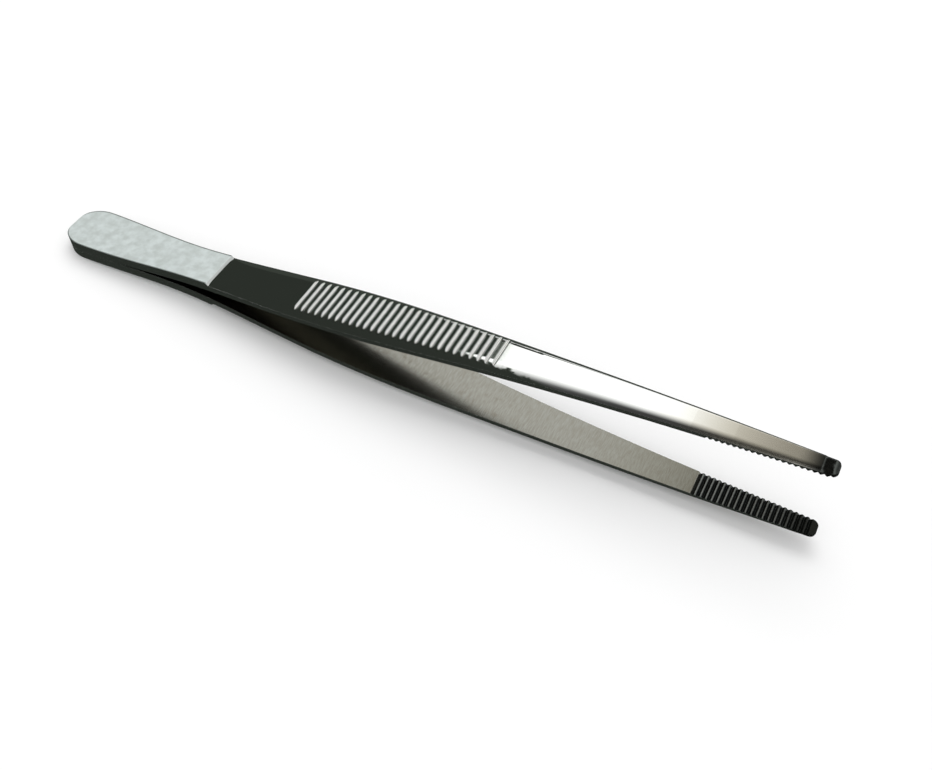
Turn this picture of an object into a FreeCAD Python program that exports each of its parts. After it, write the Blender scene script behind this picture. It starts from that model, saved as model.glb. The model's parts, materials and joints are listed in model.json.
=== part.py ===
import FreeCAD, Part
import math
import os
from FreeCAD import Placement, Rotation, Vector

# Thumb forceps: two spring-steel blades, mirror images of each other, welded face to face at the heel.
# A blade is modelled in its own frame: X from the heel's end to the tip, Z outward from the plane
# between the two blades, Y across. The pair is then laid down as it rests on a table.

doc = FreeCAD.newDocument("ThumbForceps")
sheet = doc.addObject("Spreadsheet::Sheet", "Sizes")

SIZES = [
    ("overall_length", 150.0, "heel end to tip, along a blade"),
    ("heel_length", 34.9, "heel end to the step down to the spring"),
    ("weld_length", 9.5, "stretch of the heel where the two blades are welded together"),
    ("heel_thickness", 1.75, "each blade's plate at the heel"),
    ("heel_bevel_angle", 40.0, "slope of the step, in degrees"),
    ("heel_round", 5.1, "length of the heel's rounded end"),
    ("heel_width", 10.2, "across the heel, where its rounded end stops"),
    ("waist_place", 29.0, "heel end to the narrowest place of the heel"),
    ("waist_width", 8.2, "across the waist"),
    ("spring_place", 46.0, "heel end to the middle of the spring"),
    ("spring_width", 9.5, "across the middle of the spring"),
    ("belly_place", 63.0, "heel end to the widest place of the grip"),
    ("belly_width", 10.6, "across the widest place of the grip"),
    ("grip_end_width", 8.1, "across the last groove"),
    ("jaw_width", 4.8, "across the first tooth"),
    ("tip_width", 3.3, "across the tip, before its rounded end"),
    ("tip_round", 1.6, "length of the tip's rounded end"),
    ("end_flatness", 0.29, "share of the width that is straight in the middle of both rounded ends"),
    ("opening_at_step", 2.1, "between the blades at the step"),
    ("opening_at_grip", 5.5, "between the blades at the first groove"),
    ("opening_at_belly", 7.0, "between the blades at the widest place of the grip"),
    ("opening_at_grip_end", 11.9, "between the blades at the last groove"),
    ("opening_at_jaw", 15.1, "between the blades at the first tooth"),
    ("opening_at_tip", 15.6, "between the blades at the tips"),
    ("spring_thickness", 1.35, "middle of the blade at the step"),
    ("grip_thickness", 2.05, "middle of the blade at the first groove"),
    ("grip_end_thickness", 2.0, "middle of the blade at the last groove"),
    ("jaw_thickness", 1.5, "middle of the blade at the first tooth"),
    ("tip_thickness", 1.2, "middle of the blade at the tip"),
    ("spring_side", 1.25, "blade's edge at the step"),
    ("grip_side", 1.0, "blade's edge at the first groove"),
    ("grip_end_side", 0.9, "blade's edge at the last groove"),
    ("jaw_side", 0.7, "blade's edge at the first tooth"),
    ("tip_side", 0.55, "blade's edge at the tip"),
    ("outer_flatness", 0.52, "share of the outer face that is flat across, between its rolled shoulders"),
    ("nose_length", 2.6, "stretch over which the tip's outer face rounds off"),
    ("nose_drop", 0.6, "share of the thickness that is rounded off at the very tip"),
    ("groove_start", 54.9, "heel end to the first finger groove"),
    ("groove_pitch", 1.443, "from groove to groove"),
    ("groove_count", 28, "finger grooves on each blade"),
    ("groove_radius", 0.42, "round bottom of a groove"),
    ("groove_depth", 0.3, "depth of a groove in the middle of the blade"),
    ("tooth_start", 130.2, "heel end to the first cut between the upper jaw's teeth"),
    ("tooth_pitch", 0.94, "from tooth to tooth"),
    ("tooth_count", 21, "cuts on each jaw"),
    ("tooth_depth", 0.38, "depth of a cut, which is square-cornered"),
    ("stock", 1.0, "left round the finished blade by the blanks it is cut from"),
]

for row, (alias, value, note) in enumerate(SIZES, start=1):
    sheet.set(f"A{row}", alias)
    sheet.set(f"B{row}", str(value))
    sheet.set(f"C{row}", note)
    sheet.setAlias(f"B{row}", alias)
doc.recompute()


def size(alias):
    return float(sheet.get(alias))


# Places that follow from the sizes
LENGTH = size("overall_length")
STEP = size("heel_length")
WELD = size("weld_length")
GROOVE_START = size("groove_start")
GROOVE_COUNT = int(size("groove_count"))
JAW_START = size("tooth_start")
BELLY = size("belly_place")
HEEL_SHOULDER = size("heel_round")
TIP_SHOULDER = LENGTH - size("tip_round")
NOSE_START = LENGTH - size("nose_length")


def groove_place(index):
    return GROOVE_START + index * size("groove_pitch")


GROOVE_END = groove_place(GROOVE_COUNT - 1)

STOCK = size("stock")
BLANK_HEIGHT = "Sizes.opening_at_tip / 2 + 2 * Sizes.grip_thickness + Sizes.stock"
BLANK_TOP = size("opening_at_tip") / 2 + 2 * size("grip_thickness") + STOCK
BLANK_WIDTH = "max(Sizes.heel_width; Sizes.belly_width) + 2 * Sizes.stock"


def smooth_curve(points, start_flat=False):
    """A smooth curve through (place, value) points, level at its start if asked."""
    through = [Vector(place, value, 0) for place, value in points]
    curve = Part.BSplineCurve()
    if start_flat:
        last_run = through[-1] - through[-2]
        curve.interpolate(Points=through, InitialTangent=Vector(1, 0, 0), FinalTangent=last_run.normalize())
    else:
        curve.interpolate(Points=through)
    return curve


def value_at(curve, place):
    """The value that a smooth curve has at a place along the blade."""
    low, high = curve.FirstParameter, curve.LastParameter
    for _ in range(40):
        middle = (low + high) / 2
        if curve.value(middle).x < place:
            low = middle
        else:
            high = middle
    return curve.value((low + high) / 2).y


gap_curve = smooth_curve(
    [
        (WELD, 0),
        (STEP, size("opening_at_step") / 2),
        (GROOVE_START, size("opening_at_grip") / 2),
        (BELLY, size("opening_at_belly") / 2),
        (GROOVE_END, size("opening_at_grip_end") / 2),
        (JAW_START, size("opening_at_jaw") / 2),
        (LENGTH, size("opening_at_tip") / 2),
    ],
    start_flat=True,
)
width_curve = smooth_curve(
    [
        (HEEL_SHOULDER, size("heel_width") / 2),
        (size("waist_place"), size("waist_width") / 2),
        (size("spring_place"), size("spring_width") / 2),
        (BELLY, size("belly_width") / 2),
        (GROOVE_END, size("grip_end_width") / 2),
        (JAW_START, size("jaw_width") / 2),
        (TIP_SHOULDER, size("tip_width") / 2),
    ],
    start_flat=True,
)
crown_curve = smooth_curve(
    [
        (STEP, size("spring_thickness")),
        (GROOVE_START, size("grip_thickness")),
        (GROOVE_END, size("grip_end_thickness")),
        (JAW_START, size("jaw_thickness")),
        (LENGTH, size("tip_thickness")),
    ]
)
side_curve = smooth_curve(
    [
        (STEP, size("spring_side")),
        (GROOVE_START, size("grip_side")),
        (GROOVE_END, size("grip_end_side")),
        (JAW_START, size("jaw_side")),
        (LENGTH, size("tip_side")),
    ]
)


def half_gap(place):
    return value_at(gap_curve, place) if place > WELD else 0.0


def half_width(place):
    return value_at(width_curve, min(place, TIP_SHOULDER))


def nose_share(place):
    """How much of the full thickness is left where the tip's outer face rounds off."""
    into_nose = max(0.0, (place - LENGTH) / size("nose_length") + 1)
    return 1 - size("nose_drop") * (1 - math.sqrt(max(0.0, 1 - into_nose ** 2)))


def crown_height(place):
    return value_at(crown_curve, place) * nose_share(place)


def side_height(place):
    return value_at(side_curve, place) * nose_share(place)


def line(start, end):
    return Part.makeLine(Vector(*start), Vector(*end))


def face_feature(name, edges):
    feature = doc.addObject("Part::Feature", name)
    feature.Shape = Part.Face(Part.Wire(Part.__sortEdges__(edges)))
    return feature


def cross_blank(name, base):
    """A side profile drawn out across the blade, wider than the blade on both sides."""
    feature = doc.addObject("Part::Extrusion", name)
    feature.Base = base
    feature.DirMode = "Custom"
    feature.Dir = Vector(0, 1, 0)
    feature.Solid = True
    feature.Symmetric = True
    feature.setExpression("LengthFwd", BLANK_WIDTH)
    return feature


# The blade's outline seen from above
def rounded_end(end, shoulder, half):
    """The edges round an end: straight across its middle, with a quarter of an ellipse on each side."""
    flat = half * size("end_flatness")
    away = math.copysign(1, end - shoulder)
    at_end = 0 if away > 0 else math.pi
    edges = [line((end, -flat, 0), (end, flat, 0))]
    for hand in (-1, 1):
        ellipse = Part.Ellipse(Vector(shoulder, hand * flat, 0), abs(end - shoulder), half - flat)
        turns = sorted((at_end, at_end + hand * away * math.pi / 2))
        edges.append(Part.ArcOfEllipse(ellipse, *turns).toShape())
    return edges


def outline_side(hand):
    edge = width_curve.toShape()
    if hand < 0:
        edge = edge.mirror(Vector(0, 0, 0), Vector(0, 1, 0))
    return edge


outline_face = face_feature(
    "outline",
    rounded_end(0, HEEL_SHOULDER, size("heel_width") / 2)
    + rounded_end(LENGTH, TIP_SHOULDER, size("tip_width") / 2)
    + [outline_side(1), outline_side(-1)],
)
outline_face.Placement = Placement(Vector(0, 0, -STOCK), Rotation())
outline_blank = doc.addObject("Part::Extrusion", "outline_blank")
outline_blank.Base = outline_face
outline_blank.DirMode = "Custom"
outline_blank.Dir = Vector(0, 0, 1)
outline_blank.Solid = True
outline_blank.setExpression("LengthFwd", BLANK_HEIGHT + " + Sizes.stock")


# Everything above the blade's inner face, which is flat across and bowed along the blade
def bowed_edge():
    edge = gap_curve.toShape()
    return edge.rotated(Vector(0, 0, 0), Vector(1, 0, 0), 90)


tip_gap = size("opening_at_tip") / 2
inner_face = face_feature(
    "inner_bow",
    [
        line((-STOCK, 0, 0), (WELD, 0, 0)),
        bowed_edge(),
        line((LENGTH, 0, tip_gap), (LENGTH + STOCK, 0, tip_gap)),
        line((LENGTH + STOCK, 0, tip_gap), (LENGTH + STOCK, 0, BLANK_TOP)),
        line((LENGTH + STOCK, 0, BLANK_TOP), (-STOCK, 0, BLANK_TOP)),
        line((-STOCK, 0, BLANK_TOP), (-STOCK, 0, 0)),
    ],
)
inner_blank = cross_blank("inner_blank", inner_face)


# The heel is a flat plate that follows the bow and ends in a bevelled step
def heel_top(place):
    return half_gap(place) + size("heel_thickness")


BEND_SHARES = (0, 0.25, 0.5, 0.75, 1)
bend_places = [WELD + (STEP - WELD) * share for share in BEND_SHARES]
top_curve = Part.BSplineCurve()
top_curve.interpolate(Points=[Vector(place, 0, heel_top(place)) for place in bend_places])
bevel_fall = size("heel_thickness")
bevel_run = bevel_fall / math.tan(math.radians(size("heel_bevel_angle")))
step_top = heel_top(STEP)
heel_face = face_feature(
    "heel_profile",
    [
        line((-STOCK, 0, size("heel_thickness")), (WELD, 0, size("heel_thickness"))),
        top_curve.toShape(),
        line((STEP, 0, step_top), (STEP + bevel_run, 0, step_top - bevel_fall)),
        line((STEP + bevel_run, 0, step_top - bevel_fall), (STEP + bevel_run, 0, -STOCK)),
        line((STEP + bevel_run, 0, -STOCK), (-STOCK, 0, -STOCK)),
        line((-STOCK, 0, -STOCK), (-STOCK, 0, size("heel_thickness"))),
    ],
)
heel_blank = cross_blank("heel_blank", heel_face)


# From the step to the tip the outer face is flat across its middle, and its shoulders roll down to two
# upright sides. Each section reaches a little past the outline, which trims it.
PAST_OUTLINE = STOCK / 4


def shoulder_edge(place, outer, inner, top, fall):
    """A curve that is level where it leaves the flat and ever steeper towards the side."""
    curve = Part.BezierCurve()
    middle = (outer + inner) / 2
    curve.setPoles([Vector(place, outer, top - fall), Vector(place, middle, top), Vector(place, inner, top)])
    return curve.toShape()


def arm_section(place):
    inner = half_gap(place)
    top = inner + crown_height(place)
    half = half_width(place)
    flat = half * size("outer_flatness")
    reach = half + PAST_OUTLINE
    rise = crown_height(place) - side_height(place)
    fall = rise * ((reach - flat) / (half - flat)) ** 2
    low = inner - STOCK
    wire = Part.Wire(
        [
            line((place, -reach, low), (place, -reach, top - fall)),
            shoulder_edge(place, -reach, -flat, top, fall),
            line((place, -flat, top), (place, flat, top)),
            shoulder_edge(place, reach, flat, top, fall),
            line((place, reach, top - fall), (place, reach, low)),
            line((place, reach, low), (place, -reach, low)),
        ]
    )
    section = doc.addObject("Part::Feature", "arm_section")
    section.Shape = wire
    return section


def arm_blank(name, places, ruled):
    blank = doc.addObject("Part::Loft", name)
    blank.Sections = [arm_section(place) for place in places]
    blank.Solid = True
    blank.Ruled = ruled
    return blank


def spread(start, end, count):
    return [start + (end - start) * step / count for step in range(count + 1)]


# Each land of the grip is straight from the middle of one groove to the middle of the next, and the tip's
# bow is so slight that a few straight runs follow it. The nose falls faster towards its end.
SPRING_RUNS = 2
TIP_RUNS = 8
NOSE_SHARES = (0, 0.5, 0.85, 1)
nose_places = [NOSE_START + size("nose_length") * share for share in NOSE_SHARES]
arms = [
    arm_blank("spring_blank", spread(STEP - STOCK, GROOVE_START, SPRING_RUNS), False),
    arm_blank("grip_blank", [groove_place(index) for index in range(GROOVE_COUNT)], True),
    arm_blank("tip_blank", spread(GROOVE_END, NOSE_START, TIP_RUNS), True),
    arm_blank("nose_blank", nose_places, False),
]

rough_blade = doc.addObject("Part::MultiFuse", "rough_blade")
rough_blade.Shapes = [heel_blank] + arms
plain_blade = doc.addObject("Part::MultiCommon", "plain_blade")
plain_blade.Shapes = [rough_blade, outline_blank, inner_blank]
doc.recompute()


# Round-bottomed finger grooves, cut straight across the crown: their ends run out in rounded scoops
def across(place, height):
    """A placement whose Z lies across the blade, centred on it, at a place and a height."""
    half = doc.getObject("inner_blank").LengthFwd.Value / 2
    return Placement(Vector(place, half, height), Rotation(Vector(1, 0, 0), 90))


grooves = []
for index in range(GROOVE_COUNT):
    place = groove_place(index)
    crown = half_gap(place) + crown_height(place)
    cutter = doc.addObject("Part::Cylinder", "groove_cutter")
    cutter.setExpression("Radius", "Sizes.groove_radius")
    cutter.setExpression("Height", BLANK_WIDTH)
    cutter.Placement = across(place, crown + size("groove_radius") - size("groove_depth"))
    grooves.append(cutter)
groove_set = doc.addObject("Part::Compound", "grooves")
groove_set.Links = grooves
grooved_blade = doc.addObject("Part::Cut", "grooved_blade")
grooved_blade.Base = plain_blade
grooved_blade.Tool = groove_set


# The jaw's teeth are left between cuts of a square cutter that meets the inner face corner first
def toothed_blade(name, shift):
    cuts = []
    for index in range(int(size("tooth_count"))):
        place = JAW_START + shift + index * size("tooth_pitch")
        cutter = doc.addObject("Part::Box", "tooth_cutter")
        cutter.setExpression("Length", "2 * Sizes.tooth_depth")
        cutter.setExpression("Height", "2 * Sizes.tooth_depth")
        cutter.setExpression("Width", BLANK_WIDTH)
        corner = half_gap(place) + size("tooth_depth")
        reach = doc.getObject("inner_blank").LengthFwd.Value / 2
        cutter.Placement = Placement(Vector(place, -reach, corner), Rotation(Vector(0, 1, 0), 135))
        cuts.append(cutter)
    cut_set = doc.addObject("Part::Compound", name + "_cuts")
    cut_set.Links = cuts
    blade = doc.addObject("Part::Cut", name)
    blade.Base = grooved_blade
    blade.Tool = cut_set
    return blade


upper_blade = toothed_blade("upper_blade", 0)
# The other jaw's teeth lie half a pitch back, so that the two mesh when the blades close
lower_pattern = toothed_blade("lower_pattern", -size("tooth_pitch") / 2)
lower_blade = doc.addObject("Part::Mirroring", "lower_blade")
lower_blade.Source = lower_pattern
lower_blade.Normal = Vector(0, 0, 1)
lower_blade.Base = Vector(0, 0, 0)
doc.recompute()


# The pair lies on the lower blade: on the end of its heel and on the belly of its grip
def outer_depth(place):
    return half_gap(place) + crown_height(place)


lands = [groove_place(index + 0.5) for index in range(GROOVE_COUNT - 1)]
rest_tilt = max(math.atan((outer_depth(place) - size("heel_thickness")) / place) for place in lands)
lean = Rotation(Vector(0, 1, 0), -math.degrees(rest_tilt))
leaned = lower_blade.Shape.copy()
leaned.Placement = Placement(Vector(0, 0, 0), lean)
other = upper_blade.Shape.copy()
other.Placement = Placement(Vector(0, 0, 0), lean)
box = leaned.optimalBoundingBox()
box.add(other.optimalBoundingBox())
middle = (box.XMin + box.XMax) / 2
at_rest = Placement(Vector(-middle, 0, -box.ZMin), lean)

for blade in (upper_blade, lower_blade):
    blade.Label = blade.Name
    blade.Placement = at_rest
doc.recompute()

for item in doc.Objects:
    state = [word for word in item.State if word in ("Invalid", "Error")]
    if state:
        raise RuntimeError(f"{item.Name} is {state}")

os.makedirs("parts", exist_ok=True)
for blade in (upper_blade, lower_blade):
    shape = blade.Shape
    if shape.isNull() or not shape.isValid() or len(shape.Solids) != 1:
        raise RuntimeError(f"{blade.Label} isn't one sound solid")
    shape.exportStep(f"parts/{blade.Label}.step")
    print(blade.Label, "volume", round(shape.Volume, 2), "faces", len(shape.Faces))
print("rest tilt", round(math.degrees(rest_tilt), 3), "degrees")
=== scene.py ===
# %% [markdown]
# # Thumb forceps: dressing a CAD part in Blender
#
# The object is a pair of sprung steel blades, welded together at the heel. Its shape comes finished from
# the CAD part, so this lesson is about what makes steel look like steel: the finish of each face, and
# what stands round the object for it to mirror.
#
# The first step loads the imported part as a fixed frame. Everything is in metres, and nothing that comes
# from the CAD part is moved or reshaped.

# %% Load the part
import json
import math

import bpy
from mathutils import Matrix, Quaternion, Vector


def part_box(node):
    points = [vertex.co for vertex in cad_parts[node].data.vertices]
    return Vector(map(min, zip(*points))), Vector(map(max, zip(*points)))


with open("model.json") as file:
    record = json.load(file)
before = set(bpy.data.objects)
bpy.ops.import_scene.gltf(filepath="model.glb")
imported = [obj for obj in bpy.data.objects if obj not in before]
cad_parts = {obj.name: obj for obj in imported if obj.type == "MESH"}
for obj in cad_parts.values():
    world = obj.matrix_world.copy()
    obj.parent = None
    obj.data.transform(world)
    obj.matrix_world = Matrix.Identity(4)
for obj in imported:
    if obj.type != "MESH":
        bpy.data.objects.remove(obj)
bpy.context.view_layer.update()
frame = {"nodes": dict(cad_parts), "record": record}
blades = {name: frame["nodes"][name] for name in ("upper_blade", "lower_blade")}
print("blades:", {name: len(blade.data.polygons) for name, blade in blades.items()}, "facets")

# %% [markdown]
# ## Measuring along a blade
#
# The forceps lie on the end of the heel and on the belly of the lower grip, so they lean a little. The
# finishes follow the blades and not the table: the heel is satin up to its step, and the teeth carry painted
# shade.
# So every finish is written in the blades' own millimetres: along from the heel's end, across, and out
# from the middle plane between the blades.
#
# The lean could be typed in. It is read from the part instead: the heel's flat top is one of its mounts,
# and that mount's direction points straight out of the heel. The zero is the lower blade's furthest
# point back, which is the heel's end, in the middle plane where the two blades touch.

# %% The blades' own directions
MILLIMETRES = 1000
HEEL_THICKNESS = 1.75

heel_top = next(mount for mount in frame["record"]["mounts"] if mount["name"] == "heel_top_face")
outward = Vector(heel_top["axis"]).normalized()
along = Vector((outward.z, 0, -outward.x))
lean = math.atan2(-outward.x, outward.z)
heel_end = Vector((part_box("lower_blade")[0].x * MILLIMETRES, 0, HEEL_THICKNESS * outward.z))
blade_shift = Vector((-along.dot(heel_end), 0, -outward.dot(heel_end)))
print("lean:", round(math.degrees(lean), 3), "degrees; heel's end:", [round(value, 3) for value in heel_end])

# %% [markdown]
# ## A few words for building materials
#
# A Cycles material is a graph of nodes. Written out in full it is long and hard to read, so six small
# helpers are made first: one adds a node and wires its inputs, one does arithmetic, one fades from 0 to 1
# between two values, two mix numbers and colours, and one makes noise.

# %% Node helpers
def add(tree, kind, inputs=None, **settings):
    """A new node. Each input is given a plain value or another node's output."""
    node = tree.nodes.new("ShaderNode" + kind)
    for name, value in settings.items():
        setattr(node, name, value)
    for socket, value in (inputs or {}).items():
        if isinstance(value, bpy.types.NodeSocket):
            tree.links.new(value, node.inputs[socket])
        else:
            node.inputs[socket].default_value = value
    return node


def maths(tree, operation, first, second=0.0):
    return add(tree, "Math", {0: first, 1: second}, operation=operation).outputs[0]


def fade(tree, value, start, end):
    """0 where the value is at or before start, 1 at or past end, and smooth between."""
    sockets = {"Value": value, "From Min": start, "From Max": end}
    return add(tree, "MapRange", sockets, interpolation_type="SMOOTHSTEP").outputs["Result"]


def mix(tree, share, first, second):
    """The first number where the share is 0, and the second where it is 1. Sockets 2 and 3 take numbers."""
    return add(tree, "Mix", {0: share, 2: first, 3: second}, data_type="FLOAT").outputs[0]


def mix_colour(tree, share, first, second):
    """The same for two colours. The Mix node takes them at sockets 6 and 7, and gives them at socket 2."""
    node = add(tree, "Mix", {0: share, 6: first, 7: second}, data_type="RGBA")
    return node.outputs[2]


def noise(tree, place, size, detail):
    """Even noise from 0 to 1, with lumps of about this many millimetres. More detail breaks them up."""
    return add(tree, "TexNoise", {"Vector": place, "Scale": 1 / size, "Detail": detail}).outputs["Fac"]


# %% [markdown]
# ## The steel
#
# Both blades are one metal, and each face has its own finish. The outside is polished nearly to a mirror.
# The heel is satin. The faces between the blades are duller, and the jaw's teeth carry painted shade in
# their depths.
#
# The blades could have one material for each face. They get one graph instead, which finds the face from
# the place along the blade and from the way that the surface looks. The same graph serves both blades,
# once it is told which way is outward.

# %% Where each finish starts and stops, in millimetres along the blade
STEP_PLACE = 34.9
BEVEL_END = 35.3
JAW_PLACE = 129.6
TIP_DARKENS = (143.5, 147.6)
INNER_LIGHTENS = (108, 128)
STAINS_STOP = (104, 92)
TIP_WEARS = (120, 136)
EDGE_SOFTNESS = 0.12

# %% [markdown]
# A point's place comes from the Mapping node, which turns by the lean and shifts to the heel's end. Which
# face it is on comes from the normal: it points crosswise on the upright sides, outward on the outside, and
# inward on the faces between the blades.

# %% Finding the place and the face
SIDE_LOOKS = (0.75, 0.9)
OUTER_LOOKS = (0.4, 0.6)
INNER_LOOKS = (-0.25, -0.5)


def place_and_normal(tree):
    """A point's place in the blades' own millimetres, and the way that its surface looks."""
    coordinates = add(tree, "TexCoord")
    turn = (0, lean, 0)
    to_place = {
        "Vector": coordinates.outputs["Object"],
        "Scale": (MILLIMETRES,) * 3,
        "Rotation": turn,
        "Location": blade_shift,
    }
    to_normal = {"Vector": coordinates.outputs["Normal"], "Rotation": turn}
    place = add(tree, "Mapping", to_place).outputs["Vector"]
    normal = add(tree, "Mapping", to_normal, vector_type="VECTOR").outputs["Vector"]
    return place, normal


def find_zones(tree, place, normal, outward_sign):
    """Shares from 0 to 1 that say which face and which stretch of the blade a point is on."""
    down_blade = add(tree, "SeparateXYZ", {0: place}).outputs["X"]
    looks = add(tree, "SeparateXYZ", {0: normal})
    out = maths(tree, "MULTIPLY", looks.outputs["Z"], outward_sign)
    return {
        "down_blade": down_blade,
        "out": out,
        "side": fade(tree, maths(tree, "ABSOLUTE", looks.outputs["Y"]), *SIDE_LOOKS),
        "outer": fade(tree, out, *OUTER_LOOKS),
        "inner": fade(tree, out, *INNER_LOOKS),
        "before_step": fade(tree, down_blade, STEP_PLACE + EDGE_SOFTNESS, STEP_PLACE),
        "before_spring": fade(tree, down_blade, BEVEL_END + EDGE_SOFTNESS, BEVEL_END),
        "jaw": fade(tree, down_blade, JAW_PLACE, JAW_PLACE + EDGE_SOFTNESS),
        "tip": fade(tree, down_blade, *TIP_DARKENS),
        "worn": fade(tree, down_blade, *TIP_WEARS),
    }


# %% [markdown]
# ## Colour on the outside
#
# A satin face is never quite even, so faint clouds cross the heel. Its rim carries a thin dark line of
# painted shade. The Bevel node finds that rim, because it turns the normal within half a millimetre of an
# edge. From the spring on the steel has one colour, until the tip, where it turns warmer.

# %% Outside colours
STEEL = (0.74, 0.75, 0.73, 1)
SATIN_STEEL = (0.68, 0.74, 0.73, 1)
SATIN_SHADE = (0.53, 0.58, 0.56, 1)
# Painted shade: the bevel at the heel's step is coloured darker than the satin
BEVEL_PAINTED_SHADE = (0.46, 0.48, 0.47, 1)
# Painted shade: the thin dark line along the heel's rim
RIM_PAINTED_SHADE = (0.10, 0.12, 0.11, 1)
WARMER_TIP_STEEL = (0.64, 0.625, 0.55, 1)

RIM_SHADE_RADIUS = 0.0005
EDGE_TURN = (0.04, 0.3)
CLOUDS = {"size": 1.6, "detail": 5}
CLOUD_SPREAD = (0.25, 0.75)


def outside_colour(tree, place, zones):
    near_edge = add(tree, "Bevel", {"Radius": RIM_SHADE_RADIUS}, samples=8).outputs["Normal"]
    sideways = maths(tree, "ABSOLUTE", add(tree, "SeparateXYZ", {0: near_edge}).outputs["Y"])
    cloud = fade(tree, noise(tree, place, **CLOUDS), *CLOUD_SPREAD)
    satin = mix_colour(tree, cloud, SATIN_SHADE, SATIN_STEEL)
    # Painted shade: a thin dark line where the heel's rim turns away from the light
    satin = mix_colour(tree, fade(tree, sideways, *EDGE_TURN), satin, RIM_PAINTED_SHADE)
    # Painted shade on the bevel just past the step
    satin = mix_colour(tree, zones["before_step"], BEVEL_PAINTED_SHADE, satin)
    polished = mix_colour(tree, zones["worn"], STEEL, WARMER_TIP_STEEL)
    return mix_colour(tree, zones["before_spring"], polished, satin)


# %% [markdown]
# ## Colour between the blades
#
# The inner faces are dull. They carry fine streaks across the blade, as a grinding wheel leaves them, and
# small brown stains as far as the end of the grip. Towards the jaw they carry a little painted light. The
# teeth carry painted shade, lightest on their crests, so a tooth's colour follows how squarely it faces
# inward.

# %% Inside colours
INNER_STEEL = (0.265, 0.268, 0.24, 1)
# Painted light: the inner faces grow lighter towards the jaw
INNER_PAINTED_LIGHT = (0.275, 0.28, 0.245, 1)
INNER_STAIN = (0.15, 0.125, 0.09, 1)
# Painted shade: the teeth are darkened, lightly on their crests and deeply on their flanks
TOOTH_CREST_PAINTED_SHADE = (0.21, 0.225, 0.215, 1)
TOOTH_FLANK_PAINTED_SHADE = (0.075, 0.083, 0.080, 1)

STAINS = {"size": 1.8, "detail": 4}
STAIN_SPREAD = (0.56, 0.76)
STAIN_STRENGTH = 0.4
STREAKS = {"size": 0.18, "detail": 3}
STREAK_STRETCH = (1, 0.12, 1)
STREAK_SPREAD = (0.25, 0.75)
STREAK_STRENGTH = 0.4
CREST_LOOKS = (-0.96, -0.85)


def inside_colour(tree, place, zones):
    down_blade = zones["down_blade"]
    stain = fade(tree, noise(tree, place, **STAINS), *STAIN_SPREAD)
    stain = maths(tree, "MULTIPLY", stain, fade(tree, down_blade, *STAINS_STOP))
    across = add(tree, "Mapping", {"Vector": place, "Scale": STREAK_STRETCH}).outputs["Vector"]
    streak = fade(tree, noise(tree, across, **STREAKS), *STREAK_SPREAD)

    # Painted light towards the jaw
    colour = mix_colour(tree, fade(tree, down_blade, *INNER_LIGHTENS), INNER_STEEL, INNER_PAINTED_LIGHT)
    colour = mix_colour(tree, maths(tree, "MULTIPLY", stain, STAIN_STRENGTH), colour, INNER_STAIN)
    colour = mix_colour(tree, maths(tree, "MULTIPLY", streak, STREAK_STRENGTH), colour, INNER_STAIN)
    # Painted shade on the teeth, set by how squarely each face looks inward
    tooth = mix_colour(tree, fade(tree, zones["out"], *CREST_LOOKS), TOOTH_CREST_PAINTED_SHADE, TOOTH_FLANK_PAINTED_SHADE)
    return mix_colour(tree, zones["jaw"], colour, tooth)


# %% [markdown]
# ## Roughness
#
# Roughness is what tells the finishes apart most. The polished outside is nearly a mirror, and the heel
# spreads the light so widely that it looks pale from everywhere. Light scratches along the blade make
# each of them a little uneven.

# %% Roughness of each finish
MIRROR_ROUGHNESS = 0.045
SATIN_ROUGHNESS = 0.55
WORN_ROUGHNESS = 0.18
INNER_ROUGHNESS = 0.2
SIDE_ROUGHNESS = 0.25
UNEVENNESS = 0.1
NOISE_MIDDLE = 0.5


def steel_roughness(tree, zones, scratches):
    roughness = mix(tree, zones["worn"], MIRROR_ROUGHNESS, WORN_ROUGHNESS)
    roughness = mix(tree, zones["before_spring"], roughness, SATIN_ROUGHNESS)
    roughness = mix(tree, zones["inner"], roughness, INNER_ROUGHNESS)
    roughness = mix(tree, zones["side"], roughness, SIDE_ROUGHNESS)
    uneven = maths(tree, "MULTIPLY", maths(tree, "SUBTRACT", scratches, NOISE_MIDDLE), UNEVENNESS)
    return maths(tree, "ADD", roughness, uneven)


# %% [markdown]
# ## Small relief
#
# No real edge is quite sharp, so a second Bevel node rounds the edges by six hundredths of a millimetre
# for the light alone. Two Bump nodes add the scratches and the heel's grain, each a few thousandths of a
# millimetre deep.

# %% Edges, scratches and grain
EDGE_ROUNDING = 0.00006
SCRATCH_DEPTH = 0.000002
GRAIN_DEPTH = 0.000006
GRAIN = {"size": 0.25, "detail": 3}


def steel_normal(tree, place, satin, scratches):
    rounded = add(tree, "Bevel", {"Radius": EDGE_ROUNDING}, samples=4).outputs["Normal"]
    scratched = {"Height": scratches, "Distance": SCRATCH_DEPTH, "Normal": rounded}
    brushed = add(tree, "Bump", scratched).outputs["Normal"]
    grain = maths(tree, "MULTIPLY", noise(tree, place, **GRAIN), satin)
    grained = {"Height": grain, "Distance": GRAIN_DEPTH, "Normal": brushed}
    return add(tree, "Bump", grained).outputs["Normal"]


# %% [markdown]
# ## The whole steel
#
# The graph is put together from those parts. The upright sides and the tip's end carry painted shade, and
# they cover whatever lies under them, so they are mixed in last.

# %% Putting the steel together
# Painted shade: the upright sides are coloured darker than the steel
SIDE_PAINTED_SHADE = (0.40, 0.41, 0.40, 1)
# Painted shade: the tip's end is coloured near black
TIP_PAINTED_SHADE = (0.06, 0.065, 0.06, 1)
BARE_METALNESS = 1.0
SATIN_METALNESS = 0.35
SCRATCHES = {"size": 0.14, "detail": 3}
SCRATCH_STRETCH = (0.05, 1, 1)


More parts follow.
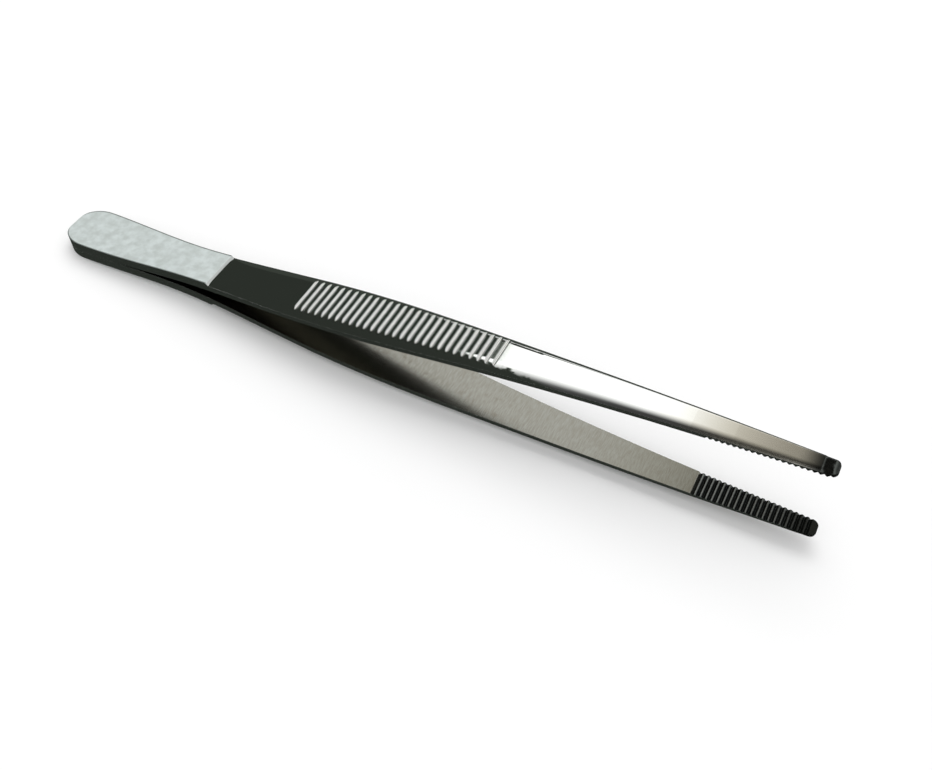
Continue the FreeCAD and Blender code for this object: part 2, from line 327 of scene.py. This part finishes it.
def blade_steel(name, outward_sign):
    """Steel for one blade. The sign says whether its outside looks up (1) or down (-1)."""
    material = bpy.data.materials.new(name)
    material.use_nodes = True
    tree = material.node_tree
    shader = tree.nodes["Principled BSDF"]
    place, normal = place_and_normal(tree)
    zones = find_zones(tree, place, normal, outward_sign)

    outside = outside_colour(tree, place, zones)
    inside = inside_colour(tree, place, zones)
    colour = mix_colour(tree, zones["inner"], outside, inside)
    # Painted shade on the upright sides
    colour = mix_colour(tree, zones["side"], colour, SIDE_PAINTED_SHADE)
    # Painted shade over the tip's end
    colour = mix_colour(tree, zones["tip"], colour, TIP_PAINTED_SHADE)
    tree.links.new(colour, shader.inputs["Base Color"])

    satin = maths(tree, "MULTIPLY", zones["before_spring"], zones["outer"])
    tree.links.new(mix(tree, satin, BARE_METALNESS, SATIN_METALNESS), shader.inputs["Metallic"])

    stretched = add(tree, "Mapping", {"Vector": place, "Scale": SCRATCH_STRETCH}).outputs["Vector"]
    scratches = noise(tree, stretched, **SCRATCHES)
    tree.links.new(steel_roughness(tree, zones, scratches), shader.inputs["Roughness"])
    tree.links.new(steel_normal(tree, place, satin, scratches), shader.inputs["Normal"])
    return material


for name, blade in blades.items():
    steel = blade_steel(name + "_steel", 1 if name == "upper_blade" else -1)
    blade.data.materials.clear()
    blade.data.materials.append(steel)
print("materials:", sorted(material.name for material in bpy.data.materials))

# %% [markdown]
# ## The table
#
# The forceps lie on a plain pale table. It is one large flat square, wide enough to reach past the
# picture from any side, and it carries the soft shadow under the blades.

# %% Table
TABLE_REACH = 20
TABLE_WHITE = (0.9, 0.9, 0.9, 1)
TABLE_ROUGHNESS = 0.9
TABLE_GLOSS = 0.0

bpy.ops.mesh.primitive_plane_add(size=2 * TABLE_REACH)
table = bpy.context.object
table.name = "table"
table_paint = bpy.data.materials.new("table_white")
table_paint.use_nodes = True
paint = table_paint.node_tree.nodes["Principled BSDF"]
paint.inputs["Base Color"].default_value = TABLE_WHITE
paint.inputs["Roughness"].default_value = TABLE_ROUGHNESS
paint.inputs["Specular IOR Level"].default_value = TABLE_GLOSS
table.data.materials.append(table_paint)
print("table:", 2 * TABLE_REACH, "m wide")

# %% [markdown]
# ## What the steel mirrors
#
# Polished steel has hardly a colour of its own. What it shows is the room: a white panel gives the white
# bar along the tip half, and a black card gives the dark spring. So a picture of steel is lit by placing
# cards, as a photographer does.
#
# The cards are made invisible to the camera and to plain light, so that only the steel sees them: they
# shade nothing, and the other views aren't blocked.

# %% A card that only the steel sees
def card(name, corners):
    """A flat glowing card, given by its corners in metres. Returns its graph and the node that glows."""
    mesh = bpy.data.meshes.new(name)
    mesh.from_pydata(corners, [], [range(len(corners))])
    panel = bpy.data.objects.new(name, mesh)
    bpy.context.collection.objects.link(panel)
    material = bpy.data.materials.new(name)
    material.use_nodes = True
    tree = material.node_tree
    glow = add(tree, "Emission")
    tree.links.new(glow.outputs[0], tree.nodes["Material Output"].inputs["Surface"])
    mesh.materials.append(material)
    panel.visible_camera = False
    panel.visible_diffuse = False
    panel.visible_shadow = False
    panel.visible_transmission = False
    return tree, glow


# %% [markdown]
# The ceiling card is painted and not plain. From the heel's side to the tips it is black, then a white
# panel, then a warm grey that darkens over the tips. It darkens towards the camera's side too. Soft edges
# between them give the soft edges in the steel.

# %% The painted ceiling
CEILING = 0.25
LOW, HIGH = -0.6, 0.6
CEILING_END = 0.15
BLACK, NEAR_BLACK, WARM_GREY, WHITE = 0.038, 0.06, 0.42, 1.5
WARM_TINT = (1.0, 0.94, 0.84, 1)
NO_TINT = (1.0, 1.0, 1.0, 1)
BLACK_TINT = (0.86, 1.0, 0.84, 1)

# Where one tone fades into the next, in metres on the card
BLACK_ENDS = (-0.130, -0.122)
GREY_STARTS = (-0.022, 0.045)
TIPS_DARKEN = (0.035, 0.085)
NEAR_SIDE = (0.120, -0.060)
FAR_SIDE = (-0.320, 0.080)
STEP_BACK = 0.035


def level(end, height):
    """The corners of a level card that reaches from the heel's side to this end."""
    return [(x, y, height) for x, y in ((LOW, LOW), (end, LOW), (end, HIGH), (LOW, HIGH))]


tree, glow = card("ceiling", level(CEILING_END, CEILING))
spot = add(tree, "SeparateXYZ", {0: add(tree, "TexCoord").outputs["Object"]})
lengthwise, crosswise = spot.outputs["X"], spot.outputs["Y"]
step = maths(tree, "MULTIPLY", fade(tree, crosswise, *NEAR_SIDE), STEP_BACK)
past_black = fade(tree, maths(tree, "SUBTRACT", lengthwise, step), *BLACK_ENDS)
past_white = fade(tree, lengthwise, *GREY_STARTS)
panel_light = mix(tree, past_white, WHITE, WARM_GREY)
panel_light = mix(tree, fade(tree, lengthwise, *TIPS_DARKEN), panel_light, NEAR_BLACK)
panel_light = mix(tree, fade(tree, crosswise, *FAR_SIDE), NEAR_BLACK, panel_light)
tree.links.new(mix(tree, past_black, BLACK, panel_light), glow.inputs["Strength"])
panel_tint = mix_colour(tree, past_white, NO_TINT, WARM_TINT)
tree.links.new(mix_colour(tree, past_black, BLACK_TINT, panel_tint), glow.inputs["Color"])

# %% [markdown]
# Upright cards close the set round the ceiling's edges. The white ones stand beyond the heel and beyond
# the tips, where the finger grooves look, so each groove shows as a white bar. The black ones stand
# behind the object, where the far shoulders look, and one more lies on the table and darkens the
# upright sides of the blades.

# %% Cards round the edges
def plain_card(name, corners, strength, tint):
    tree, glow = card(name, corners)
    glow.inputs["Strength"].default_value = strength
    glow.inputs["Color"].default_value = tint
    return tree, glow


def upright(start, stop, bottom, top):
    """The corners of an upright card that stands between two places on the table."""
    return [(*start, bottom), (*stop, bottom), (*stop, top), (*start, top)]


ABOVE_TABLE = 0.0002
WHITE_BOTTOM = 0.03
LOW_TOP = 0.10
CORNER = 0.35
TURN = -0.30
FOOT_FADES = (0.06, 0.15)

black_cards = {
    "black_on_table": level(HIGH, ABOVE_TABLE),
    "black_at_corner": upright((LOW, CORNER), (LOW, HIGH), 0, CEILING),
    "black_behind_heel": upright((LOW, HIGH), (TURN, HIGH), 0, CEILING),
    "black_behind_tips": upright((TURN, HIGH), (CEILING_END, HIGH), 0, LOW_TOP),
}
for name, corners in black_cards.items():
    plain_card(name, corners, NEAR_BLACK, BLACK_TINT)
beyond_heel = upright((LOW, LOW), (LOW, CORNER), WHITE_BOTTOM, CEILING)
plain_card("white_beyond_heel", beyond_heel, WHITE, NO_TINT)
beyond_tips = upright((CEILING_END, LOW), (CEILING_END, HIGH), WHITE_BOTTOM, CEILING)
tree, glow = plain_card("white_beyond_tips", beyond_tips, WHITE, NO_TINT)

# The card beyond the tips is grey at its foot, so that the steel stands out when it is seen from the heel
height = add(tree, "SeparateXYZ", {0: add(tree, "TexCoord").outputs["Object"]}).outputs["Z"]
tree.links.new(mix(tree, fade(tree, height, *FOOT_FADES), WARM_GREY, WHITE), glow.inputs["Strength"])

# %% [markdown]
# ## The light
#
# The room itself is an even white, which lights the table softly from all sides. One large lamp overhead
# adds the direction that gives the blades their shadow. The steel doesn't mirror that lamp.

# %% Room and lamp
ROOM_WHITE = (1, 1, 1, 1)
ROOM_STRENGTH = 0.9
LAMP_PLACE = Vector((-0.1, 0.25, 0.6))
LAMP_SIDE = 0.5
LAMP_POWER = 1.5

world = bpy.data.worlds.new("room")
bpy.context.scene.world = world
world.use_nodes = True
background = world.node_tree.nodes["Background"]
background.inputs["Color"].default_value = ROOM_WHITE
background.inputs["Strength"].default_value = ROOM_STRENGTH

lamp = bpy.data.lights.new("overhead_lamp", "AREA")
lamp.shape = "SQUARE"
lamp.size = LAMP_SIDE
lamp.energy = LAMP_POWER
lamp_holder = bpy.data.objects.new("overhead_lamp", lamp)
bpy.context.collection.objects.link(lamp_holder)
lamp_holder.location = LAMP_PLACE
lamp_holder.rotation_euler = (-LAMP_PLACE).to_track_quat("-Z", "Y").to_euler()
lamp_holder.visible_glossy = False
lamp_holder.visible_camera = False
print("lamp:", LAMP_POWER, "W,", round(LAMP_PLACE.length, 2), "m from the middle of the table")

# %% [markdown]
# ## The camera
#
# The photograph's outlines, its even grooves and its even teeth fix where the camera stood: close, beside
# the tips, and looking down at about fifty degrees. Blender aims a camera with its up side level, so the
# small roll of the photograph is added last.

# %% Camera
CAMERA_PLACE = Vector((0.06315, -0.1077, 0.1519))
CAMERA_AIM = Vector((0.01325, -0.0031, 0.00756))
CAMERA_ROLL = math.radians(2.29)
LENS_MILLIMETRES = 41.7
SENSOR_MILLIMETRES = 36
NEAREST_SEEN = 0.01

lens = bpy.data.cameras.new("camera")
lens.lens = LENS_MILLIMETRES
lens.sensor_width = SENSOR_MILLIMETRES
lens.clip_start = NEAREST_SEEN
camera = bpy.data.objects.new("camera", lens)
bpy.context.collection.objects.link(camera)
camera.location = CAMERA_PLACE
camera.rotation_mode = "QUATERNION"
aim = (CAMERA_AIM - CAMERA_PLACE).to_track_quat("-Z", "Y")
camera.rotation_quaternion = aim @ Quaternion((0, 0, 1), CAMERA_ROLL)
bpy.context.scene.camera = camera
bpy.context.scene.view_settings.view_transform = "Standard"
print("camera:", round((CAMERA_AIM - CAMERA_PLACE).length, 3), "m from what it looks at")
